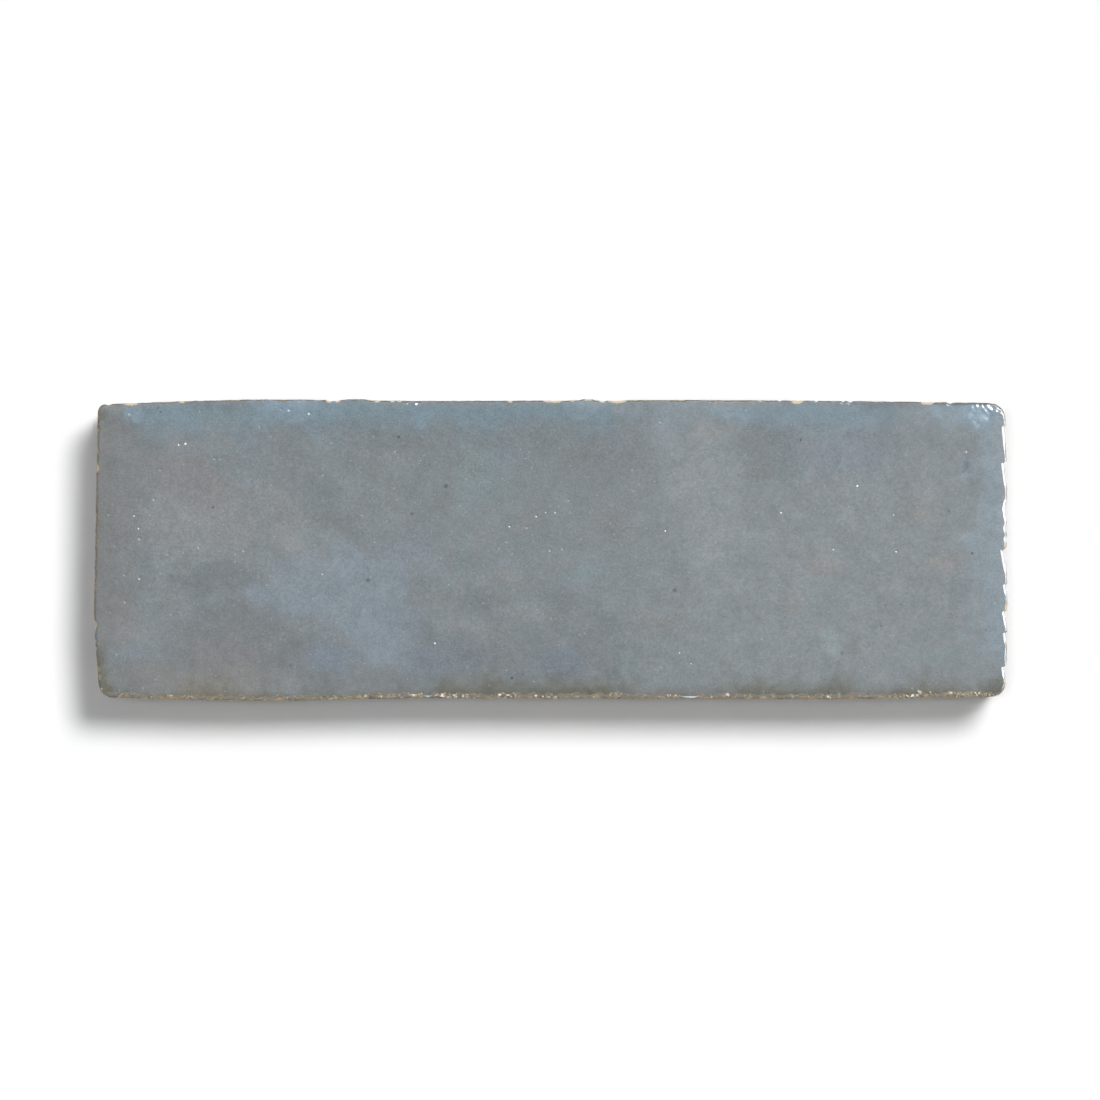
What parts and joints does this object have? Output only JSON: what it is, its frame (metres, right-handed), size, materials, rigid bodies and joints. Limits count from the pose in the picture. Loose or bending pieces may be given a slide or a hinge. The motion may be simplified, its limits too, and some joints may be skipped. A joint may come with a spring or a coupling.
{
  "type": "subway wall tile",
  "caption": "Hand-cut rectangular clay wall tile with a grey-blue glossy glaze, a gently rolling face and soft, chipped edges, laid on a wall in rows like brickwork.",
  "frame": {"origin": "centre of the back face, which lies on the floor", "axes": "+X along the tile's length, +Y across its width, +Z out of the glazed face"},
  "size_m": [0.1508, 0.0498, 0.012],
  "materials": {
    "glaze": "glossy grey-blue glaze on fired clay"
  },
  "bodies": {
    "root": {"glazed_tile": "glaze"}
  },
  "joints": []
}
